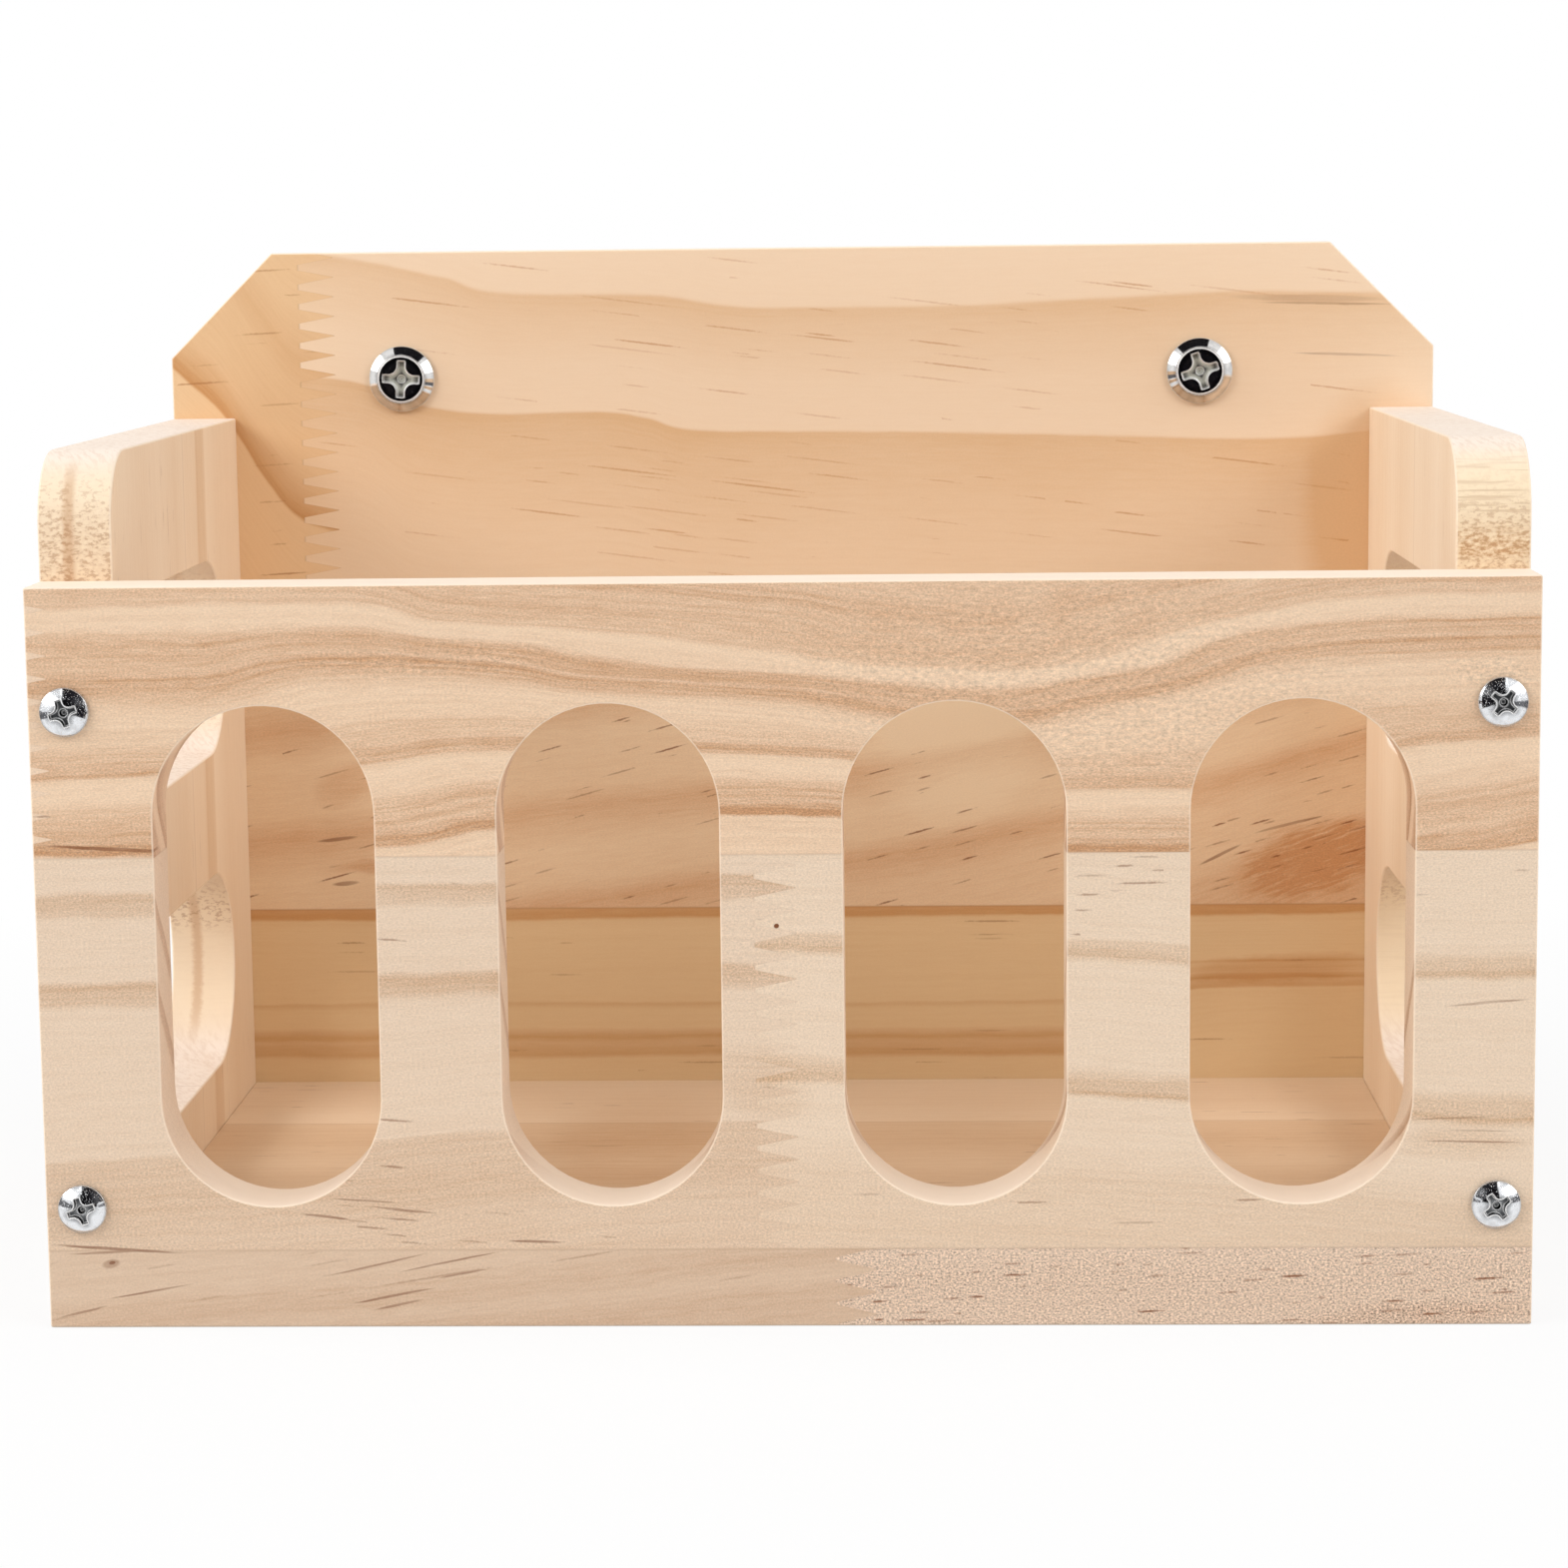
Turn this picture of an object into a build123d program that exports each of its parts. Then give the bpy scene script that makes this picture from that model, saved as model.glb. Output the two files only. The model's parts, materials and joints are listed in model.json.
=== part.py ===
from build123d import *
import math
import os

# Wooden hay feeder box. Millimetres. X runs across the front, Y from the front to the back and Z up.
# The origin is the middle of the base: the boards span X and Y evenly, and stand on Z = 0.

# Boards
box_width = 250.0
box_depth = 150.0
back_height = 180.0
front_height = 126.0
side_height = 147.5
board_thickness = 12.5
edge_radius = 0.4             # eased edge of every board
back_corner_cut = 20.5        # 45 degree cut at the back board's top corners
side_corner_radius = 13.0     # rounded top front corner of each side board

# Openings for the hay
slot_width = 37.0
front_slot_count = 4
front_slot_side_margin = 20.25
front_slot_margin_below = 21.0
front_slot_margin_above = 20.0
side_slot_end_margin = 20.0
side_slot_margin_below = 24.5
side_slot_margin_above = 25.5

# Wood screws, with a pan head and a cross recess
screw_diameter = 4.0
screw_core_diameter = 2.8
screw_length = 25.0
screw_thread_pitch = 1.6
screw_point_length = 3.5
screw_head_diameter = 8.2
screw_head_height = 2.5
screw_head_rim = 0.7          # straight edge below the head's dome
screw_hole_clearance = 0.05
screw_point_clearance = 1.0
screw_end_inset = 20.75       # from a board's end to its nearest screw
floor_screw_end_inset = 35.0  # from the front and back of the box

# Cross recess that a screwdriver fits: its width across, its arms, the rounding between
# two arms, the arms' depth, and the width and depth of the cone at its middle
recess_taper = 8.0
recess_cone_foot = 0.8
screw_recess_width = 4.8
screw_recess_arm = 1.2
screw_recess_corner = 1.1
screw_recess_depth = 1.3
screw_recess_cone = 2.3
screw_recess_cone_depth = 2.1
bolt_recess_width = 7.2
bolt_recess_arm = 1.5
bolt_recess_corner = 1.9
bolt_recess_depth = 1.0
bolt_recess_cone = 2.6
bolt_recess_cone_depth = 1.7

# Bolts that clamp the box to a cage
bolt_diameter = 5.0
bolt_length = 35.0
bolt_head_diameter = 9.2
bolt_head_rise = 0.1
bolt_thread_pitch = 0.8
bolt_thread_length = 22.0
bolt_thread_depth = 0.45
bolt_hole_clearance = 0.25
bolt_side_inset = 46.0        # from the back board's side edge to the nearer bolt
bolt_drop = 25.0              # from the back board's top to the bolts

# Bevelled collar under each bolt head, inside the box
collar_diameter = 12.9
collar_top_wall = 0.1
collar_height = 2.3
collar_edge = 0.9             # straight edge at the collar's foot
collar_seat_clearance = 0.05

# Clamp washer and wing nut behind the back board
washer_diameter = 25.0
washer_thickness = 1.5
washer_hole_clearance = 0.25
washer_edge_radius = 0.3
nut_clearance = 0.05
nut_foot_diameter = 11.0
nut_top_diameter = 9.0
nut_boss_height = 6.5
wing_span = 26.0
wing_height = 13.0
wing_thickness = 2.4
wing_tip_radius = 3.4
wing_root_radius = 2.4
wing_edge_radius = 0.7

# Turn of each cross recess or pair of wings about its own axis, in degrees
front_screw_turns = {"lower_left": 18.0, "lower_right": 35.0, "upper_left": 18.0, "upper_right": 53.0}
back_screw_turns = {"lower_left": 12.0, "lower_right": 63.0, "upper_left": 31.0, "upper_right": 5.0}
floor_screw_turns = {"left_front": 24.0, "left_rear": 70.0, "right_front": 41.0, "right_rear": 8.0}
bolt_turns = {"left": -3.0, "right": 17.0}
wing_turns = {"left": 14.0, "right": -22.0}

# Places worked out from the sizes above
inner_width = box_width - 2 * board_thickness
inner_depth = box_depth - 2 * board_thickness
front_y = -box_depth / 2
back_y = box_depth / 2
back_inner_y = back_y - board_thickness
side_middle_x = (box_width - board_thickness) / 2
bolt_x = box_width / 2 - bolt_side_inset
bolt_z = back_height - bolt_drop
sides = {"left": -1, "right": 1}

front_slot_length = front_height - front_slot_margin_below - front_slot_margin_above
front_slot_pitch = (box_width - 2 * front_slot_side_margin - slot_width) / (front_slot_count - 1)
front_slot_z = front_slot_margin_below + front_slot_length / 2
side_slot_length = inner_depth - 2 * side_slot_end_margin
side_slot_heights = (
    side_slot_margin_below + slot_width / 2,
    side_height - side_slot_margin_above - slot_width / 2,
)

front_screw_heights = {"lower": screw_end_inset, "upper": front_height - screw_end_inset}
back_screw_heights = {"lower": screw_end_inset, "upper": side_height - screw_end_inset}
floor_screw_reach = box_depth / 2 - floor_screw_end_inset
floor_screw_places = {"front": -floor_screw_reach, "rear": floor_screw_reach}
floor_screw_z = board_thickness / 2

# A frame for each hole or fastener: its Z axis points out of the head, back at whoever drives it.
# X is the direction that a turn of 0 degrees lays one arm of the cross along.
screw_frames = {}
for side, sign in sides.items():
    for level, height in front_screw_heights.items():
        place = (sign * side_middle_x, front_y, height)
        frame = Plane(origin=place, x_dir=(1, 0, 0), z_dir=(0, -1, 0))
        screw_frames["front_screw_" + level + "_" + side] = (frame, front_screw_turns[level + "_" + side])
    for level, height in back_screw_heights.items():
        place = (sign * side_middle_x, back_y, height)
        frame = Plane(origin=place, x_dir=(1, 0, 0), z_dir=(0, 1, 0))
        screw_frames["back_screw_" + level + "_" + side] = (frame, back_screw_turns[level + "_" + side])
    for end, depth in floor_screw_places.items():
        place = (sign * box_width / 2, depth, floor_screw_z)
        frame = Plane(origin=place, x_dir=(0, 1, 0), z_dir=(sign, 0, 0))
        screw_frames["floor_screw_" + side + "_" + end] = (frame, floor_screw_turns[side + "_" + end])


def bolt_frame(side):
    """Frame on the back board's inner face, with Z into the box, at one bolt."""
    place = (sides[side] * bolt_x, back_inner_y, bolt_z)
    return Plane(origin=place, x_dir=(1, 0, 0), z_dir=(0, -1, 0))


def clamp_frame(side):
    """Frame on the back board's outer face, with Z away from the box, at one bolt."""
    place = (sides[side] * bolt_x, back_y, bolt_z)
    return Plane(origin=place, x_dir=(1, 0, 0), z_dir=(0, 1, 0))


def eased(board):
    """Round every edge of a board a little."""
    return fillet(board.edges(), edge_radius)


def with_screw_holes(board):
    """Cut the hole of every wood screw that reaches into this board."""
    hole_radius = screw_diameter / 2 + screw_hole_clearance
    hole_length = screw_length + screw_point_clearance
    hole = Pos(0, 0, -hole_length / 2) * Cylinder(hole_radius, hole_length)
    for frame, turn in screw_frames.values():
        board -= frame * hole
    return board


def front_panel():
    middle = Pos(0, front_y + board_thickness / 2, front_height / 2)
    board = middle * Box(box_width, board_thickness, front_height)
    for index in range(front_slot_count):
        x = (index - (front_slot_count - 1) / 2) * front_slot_pitch
        outline = SlotOverall(front_slot_length, slot_width, rotation=90)
        face = Plane(origin=(x, front_y, front_slot_z), x_dir=(1, 0, 0), z_dir=(0, -1, 0))
        board -= face * extrude(outline, -board_thickness)
    return with_screw_holes(eased(board))


def back_panel():
    face = Plane(origin=(0, back_y, 0), x_dir=(1, 0, 0), z_dir=(0, -1, 0))
    half = box_width / 2
    shoulder = back_height - back_corner_cut
    outline = Polygon(
        (-half, 0),
        (half, 0),
        (half, shoulder),
        (half - back_corner_cut, back_height),
        (back_corner_cut - half, back_height),
        (-half, shoulder),
        align=None,
    )
    board = with_screw_holes(eased(face * extrude(outline, board_thickness)))
    hole = Cylinder(bolt_diameter / 2 + bolt_hole_clearance, 3 * board_thickness)
    for side in sides:
        board -= bolt_frame(side) * hole
    return board


def side_panel(side):
    middle_x = sides[side] * side_middle_x
    board = Pos(middle_x, 0, side_height / 2) * Box(board_thickness, inner_depth, side_height)
    corner = board.edges().filter_by(Axis.X).group_by(Axis.Z)[-1].sort_by(Axis.Y)[0]
    board = fillet(corner, side_corner_radius)
    for height in side_slot_heights:
        outline = SlotOverall(side_slot_length, slot_width)
        face = Plane(origin=(middle_x, 0, height), x_dir=(0, 1, 0), z_dir=(1, 0, 0))
        board -= face * extrude(outline, board_thickness, both=True)
    return with_screw_holes(eased(board))


def floor_panel():
    board = Pos(0, 0, board_thickness / 2) * Box(inner_width, inner_depth, board_thickness)
    return with_screw_holes(eased(board))


def cross_recess(width, arm, corner, depth, cone, cone_depth):
    """A tapered cross that is cut down from Z = 0, with a deeper cone at its middle."""
    outline = Rectangle(width, arm) + Rectangle(arm, width)
    inner_corners = outline.vertices().sort_by(lambda vertex: Vector(vertex).length)[:4]
    outline = fillet(inner_corners, corner)
    cross = extrude(outline, -depth, taper=recess_taper)
    middle = Pos(0, 0, -cone_depth / 2) * Cone(recess_cone_foot / 2, cone / 2, cone_depth)
    return cross + middle


def threaded_outline(radius, core_radius, pitch, start, end):
    """Points of a row of thread crests along -Z, from depth start to depth end."""
    count = int((end - start) / pitch)
    points = []
    for index in range(count):
        depth = start + index * pitch
        points.append((core_radius, -depth))
        points.append((radius, -(depth + pitch / 2)))
    points.append((core_radius, -(start + count * pitch)))
    return points


def dome_middle(radius, rise, foot):
    """The point half-way out along the arc of a dome that rises from Z = foot."""
    sphere_radius = (radius ** 2 + rise ** 2) / (2 * rise)
    height = math.sqrt(sphere_radius ** 2 - (radius / 2) ** 2) - (sphere_radius - rise)
    return (radius / 2, foot + height)


def wood_screw(turn):
    """A wood screw along -Z, with the underside of its head at Z = 0."""
    head_radius = screw_head_diameter / 2
    rise = screw_head_height - screw_head_rim
    core_radius = screw_core_diameter / 2
    thread_end = screw_length - screw_point_length
    thread = threaded_outline(screw_diameter / 2, core_radius, screw_thread_pitch, screw_thread_pitch, thread_end)
    with BuildPart() as screw:
        with BuildSketch(Plane.XZ):
            with BuildLine():
                rim = (head_radius, screw_head_rim)
                top = (0, screw_head_height)
                ThreePointArc(rim, dome_middle(head_radius, rise, screw_head_rim), top)
                Polyline(top, (0, -screw_length), *reversed(thread), (core_radius, 0), (head_radius, 0), rim)
            make_face()
        revolve(axis=Axis.Z)
    recess = cross_recess(
        screw_recess_width, screw_recess_arm, screw_recess_corner,
        screw_recess_depth, screw_recess_cone, screw_recess_cone_depth,
    )
    return screw.part - Pos(0, 0, screw_head_height) * Rot(0, 0, turn) * recess


def clamp_bolt(turn):
    """A countersunk bolt along -Z. Z = 0 is the inner face of the back board."""
    radius = bolt_diameter / 2
    head_radius = bolt_head_diameter / 2
    head_edge = collar_height
    cone_foot = head_edge - (head_radius - radius)
    tip = bolt_length - collar_height
    thread = threaded_outline(radius, radius - bolt_thread_depth, bolt_thread_pitch, tip - bolt_thread_length, tip)
    with BuildPart() as bolt:
        with BuildSketch(Plane.XZ):
            with BuildLine():
                rim = (head_radius, head_edge)
                top = (0, head_edge + bolt_head_rise)
                ThreePointArc(rim, dome_middle(head_radius, bolt_head_rise, head_edge), top)
                start = (radius, -(tip - bolt_thread_length))
                Polyline(top, (0, thread[-1][1]), *reversed(thread), start, (radius, cone_foot), rim)
            make_face()
        revolve(axis=Axis.Z)
    recess = cross_recess(
        bolt_recess_width, bolt_recess_arm, bolt_recess_corner,
        bolt_recess_depth, bolt_recess_cone, bolt_recess_cone_depth,
    )
    return bolt.part - Pos(0, 0, head_edge + bolt_head_rise) * Rot(0, 0, turn) * recess


def collar():
    """The bevelled collar that the bolt head sinks into, with its foot on Z = 0."""
    seat_radius = bolt_head_diameter / 2 + collar_seat_clearance
    bore_radius = bolt_diameter / 2 + bolt_hole_clearance
    seat_foot = collar_height - (seat_radius - bore_radius)
    with BuildPart() as ring:
        with BuildSketch(Plane.XZ):
            with BuildLine():
                Polyline(
                    (bore_radius, 0),
                    (collar_diameter / 2, 0),
                    (collar_diameter / 2, collar_edge),
                    (seat_radius + collar_top_wall, collar_height),
                    (seat_radius, collar_height),
                    (bore_radius, seat_foot),
                    close=True,
                )
            make_face()
        revolve(axis=Axis.Z)
    return ring.part


def clamp_washer():
    """A large flat washer that lies on Z = 0."""
    disc = Pos(0, 0, washer_thickness / 2) * Cylinder(washer_diameter / 2, washer_thickness)
    disc = fillet(disc.edges(), washer_edge_radius)
    hole = Cylinder(bolt_diameter / 2 + washer_hole_clearance, 3 * washer_thickness)
    return disc - hole


def wing_nut():
    """A wing nut that stands on Z = 0, with its wings along X."""
    boss = Pos(0, 0, nut_boss_height / 2) * Cone(nut_foot_diameter / 2, nut_top_diameter / 2, nut_boss_height)
    tip_x = wing_span / 2 - wing_tip_radius
    tip_z = wing_height - wing_tip_radius
    root_x = nut_top_diameter / 2
    root_z = nut_boss_height - wing_root_radius
    nut = boss
    for sign in sides.values():
        root = Pos(sign * root_x, root_z) * Circle(wing_root_radius)
        tip = Pos(sign * tip_x, tip_z) * Circle(wing_tip_radius)
        outline = make_hull(root.edges() + tip.edges())
        wing = Plane.XZ * extrude(outline, wing_thickness / 2, both=True)
        nut += fillet(wing.edges(), wing_edge_radius)
    return nut - Cylinder(bolt_diameter / 2 + nut_clearance, 4 * wing_height)


nodes = {
    "front_panel": front_panel(),
    "back_panel": back_panel(),
    "left_side_panel": side_panel("left"),
    "right_side_panel": side_panel("right"),
    "floor_panel": floor_panel(),
}
for name, (frame, turn) in screw_frames.items():
    nodes[name] = frame * wood_screw(turn)
for side in sides:
    nodes[side + "_clamp_bolt"] = bolt_frame(side) * clamp_bolt(bolt_turns[side])
    nodes[side + "_bolt_collar"] = bolt_frame(side) * collar()
    nodes[side + "_clamp_washer"] = clamp_frame(side) * clamp_washer()
    nut_place = Pos(0, 0, washer_thickness) * Rot(0, 0, wing_turns[side])
    nodes[side + "_wing_nut"] = clamp_frame(side) * nut_place * wing_nut()

os.makedirs("parts", exist_ok=True)
for name, shape in nodes.items():
    export_step(shape, "parts/" + name + ".step")
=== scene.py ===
import json
import math

import bpy
from mathutils import Euler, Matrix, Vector


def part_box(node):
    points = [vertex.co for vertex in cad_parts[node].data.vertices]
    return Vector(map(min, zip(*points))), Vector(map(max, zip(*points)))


# A wooden hay feeder box: five pine boards held by screws, and two bolts that clamp it to a cage.
# Blender works in metres. The wood and its grain are laid out in millimetres, in the model's own frame.

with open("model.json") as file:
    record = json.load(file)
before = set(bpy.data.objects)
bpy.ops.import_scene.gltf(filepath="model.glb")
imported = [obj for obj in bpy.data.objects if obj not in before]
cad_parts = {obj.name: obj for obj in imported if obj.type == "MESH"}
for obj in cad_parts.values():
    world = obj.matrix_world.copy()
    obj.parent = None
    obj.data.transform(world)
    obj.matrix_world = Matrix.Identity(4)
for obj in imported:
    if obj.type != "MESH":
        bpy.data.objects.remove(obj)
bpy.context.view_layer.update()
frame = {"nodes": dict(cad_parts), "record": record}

MM = 0.001
box = {name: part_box(name) for name in frame["nodes"]}

# Camera: its place, lens and sensor in millimetres, and its turn in degrees about X, Y and Z
camera_place = (22.1, -713.7, 181.8)
camera_turn = (82.035, 0.653, 1.834)
camera_lens = 89.54
camera_sensor = 36.0

# Light: each softbox has a name, a place and a size in metres, and a power in watts
world_strength = 0.37
softboxes = [
    ("left_front_softbox", (-1.1, -0.9, 0.9), 0.7, 8.0),
    ("right_front_softbox", (1.1, -0.9, 0.9), 0.7, 6.2),
    ("left_side_softbox", (-1.3, -0.1, 0.8), 0.7, 7.7),
    ("right_side_softbox", (1.3, -0.1, 0.8), 0.7, 5.3),
    ("top_softbox", (0.0, -0.25, 1.3), 1.0, 2.6),
]
light_target = (0.0, 0.0, 0.09)

# The paper floor, in metres
paper_drop = 0.05 * MM              # how far it lies under the box
paper_half_width = 3.0
paper_clear_within = 0.5 * MM       # rays shorter than this pass through it
paper_shade_reach = (0.15, 0.4)     # the box's shade fades out between these distances from the middle
paper_white_near_box = 0.86         # how much of it looks plain white near the box

# The dark gap between the softboxes, which the bright metal mirrors. It lies over the box and in front
# of it, in metres.
gap_half_width = 0.2
gap_top = 0.46
gap_front = -0.36
gap_rear = 0.25
gap_foot = 0.03
# Upright fins of it: x, nearest y, furthest y, foot, top and shade
gap_fins = [
    (0.0, -0.11, -0.6, 0.05, 0.46, "black"),
    (-0.42, 0.1, -0.5, 0.0, 0.09, "grey"),
    (0.42, 0.1, -0.5, 0.0, 0.09, "grey"),
]
gap_shades = {"black": (0.012, 0.011, 0.014, 1.0), "grey": (0.16, 0.16, 0.17, 1.0)}


def srgb(red, green, blue):
    """A colour given as it looks on screen, from 0 to 255, as linear light."""
    linear = []
    for value in (red, green, blue):
        share = value / 255
        linear.append(share / 12.92 if share <= 0.04045 else ((share + 0.055) / 1.055) ** 2.4)
    return (*linear, 1.0)


# ---------------------------------------------------------------- arithmetic on node sockets

class Field:
    """A number that varies over a surface: a socket whose arithmetic adds Math nodes."""

    def __init__(self, tree, socket):
        self.tree = tree
        self.socket = socket

    def math(self, operation, *others):
        node = self.tree.nodes.new("ShaderNodeMath")
        node.operation = operation
        for place, value in enumerate((self, *others)):
            plug(self.tree, value, node.inputs[place])
        return Field(self.tree, node.outputs[0])

    def __add__(self, other):
        return self.math("ADD", other)

    def __sub__(self, other):
        return self.math("SUBTRACT", other)

    def __mul__(self, other):
        return self.math("MULTIPLY", other)

    def __truediv__(self, other):
        return self.math("DIVIDE", other)

    def __neg__(self):
        return self.math("MULTIPLY", -1.0)

    def flipped(self):
        """1 minus this."""
        return -self + 1.0

    def ranged(self, low, high, to_low=0.0, to_high=1.0, kind="LINEAR"):
        """This value carried from one range to another, and held at its ends."""
        node = self.tree.nodes.new("ShaderNodeMapRange")
        node.interpolation_type = kind
        plug(self.tree, self, node.inputs["Value"])
        for name, value in (("From Min", low), ("From Max", high), ("To Min", to_low), ("To Max", to_high)):
            plug(self.tree, value, node.inputs[name])
        return Field(self.tree, node.outputs["Result"])

    def rise(self, low, high):
        """0 below low and 1 above high, with a smooth step between them."""
        return self.ranged(low, high, kind="SMOOTHSTEP")

    def line(self, centre, width):
        """1 on a line at centre, and 0 beyond width from it."""
        return (self - centre).math("ABSOLUTE").rise(width * 0.2, width).flipped()

    def curve(self, points, handle="AUTO_CLAMPED"):
        """The curve through (input, output) points. Beyond its ends it stays level."""
        start, end = points[0][0], points[-1][0]
        low = min(y for x, y in points)
        high = max(y for x, y in points)
        node = self.tree.nodes.new("ShaderNodeFloatCurve")
        drawn = node.mapping.curves[0]
        while len(drawn.points) < len(points):
            drawn.points.new(0.5, 0.5)
        for point, (x, y) in zip(drawn.points, points):
            point.location = ((x - start) / (end - start), (y - low) / (high - low))
            point.handle_type = handle
        node.mapping.update()
        plug(self.tree, self.ranged(start, end), node.inputs["Value"])
        return Field(self.tree, node.outputs[0]) * (high - low) + low


def plug(tree, value, socket):
    """Link a field or socket, or set a plain value."""
    if isinstance(value, Field):
        tree.links.new(value.socket, socket)
    elif isinstance(value, bpy.types.NodeSocket):
        tree.links.new(value, socket)
    else:
        socket.default_value = value


def mix_colour(tree, share, first, second):
    node = tree.nodes.new("ShaderNodeMix")
    node.data_type = "RGBA"
    plug(tree, share, node.inputs[0])
    plug(tree, first, node.inputs[6])
    plug(tree, second, node.inputs[7])
    return node.outputs[2]


def mix_value(tree, share, first, second):
    node = tree.nodes.new("ShaderNodeMix")
    node.data_type = "FLOAT"
    plug(tree, share, node.inputs[0])
    plug(tree, first, node.inputs[2])
    plug(tree, second, node.inputs[3])
    return Field(tree, node.outputs[0])


def brightened(tree, colour, factor):
    """A colour times a number."""
    node = tree.nodes.new("ShaderNodeVectorMath")
    node.operation = "SCALE"
    plug(tree, colour, node.inputs[0])
    plug(tree, factor, node.inputs["Scale"])
    return node.outputs[0]


def joined(tree, x, y, z):
    node = tree.nodes.new("ShaderNodeCombineXYZ")
    for place, value in enumerate((x, y, z)):
        plug(tree, value, node.inputs[place])
    return node.outputs[0]


def split(tree, vector):
    node = tree.nodes.new("ShaderNodeSeparateXYZ")
    tree.links.new(vector, node.inputs[0])
    return [Field(tree, socket) for socket in node.outputs]


def strongest(fields):
    """The largest of some fields, at each place."""
    top = None
    for field in fields:
        top = field if top is None else top.math("MAXIMUM", field)
    return top


def noise(tree, vector, detail, roughness, scale=1.0):
    """Smooth noise, mostly from 0.2 to 0.8 around 0.5."""
    node = tree.nodes.new("ShaderNodeTexNoise")
    plug(tree, vector, node.inputs["Vector"])
    node.inputs["Scale"].default_value = scale
    node.inputs["Detail"].default_value = detail
    node.inputs["Roughness"].default_value = roughness
    return Field(tree, node.outputs["Fac"])


# ---------------------------------------------------------------- pine

# What a piece of pine looks like where nothing else is said. Lengths are in millimetres.
PIECE_NUMBERS = {
    "seed": 0.0,           # which part of the noises it shows
    "streaks": 0.5,        # fine fibres
    "threads": 0.4,        # thin lines along the growth bands
    "speckle": 0.5,        # fine sanded grain
    "fuzz": 0.0,           # raised, torn fibres
    "dashes": 0.1,         # resin canals: how many
    "dash_length": 1.0,    # how many times their usual length they are
    "dash_slant": 0.0,     # their rise per millimetre along the board
    "dash_depth": 0.6,     # how dark they are
}
PIECE_COLOURS = {
    "pale": srgb(232, 209, 185),
    "dark": srgb(206, 168, 132),
    "vein": srgb(136, 86, 54),
}
PLAIN_BANDS = [(0.0, 0.2), (1.0, 0.2001)]       # hardly any bands, as a curve has to rise a little

# Colours that all boards share
CUT_BAND_COLOUR = srgb(150, 98, 66)         # growth bands on end grain
CHALK_COLOUR = srgb(252, 238, 226)          # chalky end grain, and the lines in it
CHALK_LINE_COLOUR = srgb(214, 184, 158)
# painted highlight: the pale colour put on the eased edges
EDGE_HIGHLIGHT_COLOUR = srgb(252, 234, 212)    # eased edges
LONG_EDGE_COLOUR = srgb(254, 238, 220)      # planed faces along the grain
TORN_COLOUR = srgb(168, 116, 74)            # torn specks on sawn edges
MARK_COLOUR = srgb(128, 78, 48)             # streaks
GLUE_COLOUR = srgb(150, 104, 70)

# Noises drawn out along the grain: how fine along it and across it, detail and roughness
WOOD_NOISES = {
    "threads": (0.009, 0.8, 3.0, 0.62),
    "fibres": (0.17, 1.5, 4.0, 0.72),
    "patches": (0.018, 0.04, 2.0, 0.5),
    "sanding": (2.3, 3.9, 1.0, 0.7),
    "torn": (0.9, 1.5, 3.0, 0.75),
    "slow_wander": (0.016, 0.05, 1.0, 0.5),
    "quick_wander": (0.09, 0.25, 3.0, 0.6),
    "specks": (1.5, 0.75, 3.0, 0.7),
    "chatter": (1.6, 0.07, 2.0, 0.6),
}

# Resin dashes: the cells that hold one each, and half their size
DASH_CELL_LONG = 9.0
DASH_CELL_WIDE = 2.4
DASH_HALF_LENGTH = (0.8, 3.6)
DASH_HALF_WIDTH = 0.17
DASH_HALF_DEPTH = 1.3

FINGER_PITCH = 3.85
FINGER_LENGTH = 6.9
FINGER_TIP = 0.04               # how wide a finger's tip is, as a share of the pitch
FINGER_GLUE = 0.7               # how strong its glue line is beside a seam's
SEAM_HALF_WIDTH = 0.08
GLUE_LINE_HALF_WIDTH = 0.3
SEED_STEP = 37.0                # how far apart along the grain the pieces are cut
RING_TILT = 1.2                 # how far the growth bands shift for each millimetre into the board
FACE_DEPTH = (1.0, 6.0)         # zones and streaks of the best face fade out between these depths
ZONE_RAGGED = 4.0               # how far a zone's outline wanders, and a streak's
STREAK_RAGGED = 0.5
FACING = (0.35, 0.95)           # how squarely a face has to lie to an axis to be an end or a side
GRAIN_HEIGHT = 0.12             # how high the grain's bumps are


def wood_noise(tree, kind, along, across, deep):
    fine_along, fine_across, detail, roughness = WOOD_NOISES[kind]
    spot = joined(tree, along * fine_along, across * fine_across, deep * fine_across)
    return noise(tree, spot, detail, roughness)


def resin_dashes(tree, take, along, across, deep, torn, patch):
    """Resin canals: short dark dashes along the grain, each in a cell of its own. Gives how dark they are."""
    dash_long = take["dash_length"] * DASH_CELL_LONG
    slanted = across - take["along"] * take["dash_slant"]
    cells = tree.nodes.new("ShaderNodeTexVoronoi")
    cells.inputs["Scale"].default_value = 1.0
    spot = joined(tree, along / dash_long, slanted / DASH_CELL_WIDE, deep / DASH_CELL_WIDE)
    tree.links.new(spot, cells.inputs["Vector"])
    offset = tree.nodes.new("ShaderNodeVectorMath")
    offset.operation = "SUBTRACT"
    tree.links.new(spot, offset.inputs[0])
    tree.links.new(cells.outputs["Position"], offset.inputs[1])
    off_along, off_across, off_deep = split(tree, offset.outputs[0])
    chance = split(tree, cells.outputs["Color"])
    half_length = take["dash_length"] * chance[1].ranged(0.0, 1.0, *DASH_HALF_LENGTH)
    a = off_along * dash_long / half_length
    b = off_across * (DASH_CELL_WIDE / DASH_HALF_WIDTH)
    c = off_deep * (DASH_CELL_WIDE / DASH_HALF_DEPTH)
    reach = (a * a + b * b + c * c).math("SQRT") + torn * 2.0
    shape = reach.rise(0.5, 1.6).flipped()
    often = take["dashes"] * patch.ranged(0.35, 0.62, 0.4, 1.6)
    dash = shape * chance[0].math("LESS_THAN", often) * chance[2].ranged(0.0, 1.0, 0.45, 1.0)
    return dash * take["dash_depth"] * take["end_grain"].flipped()


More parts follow.
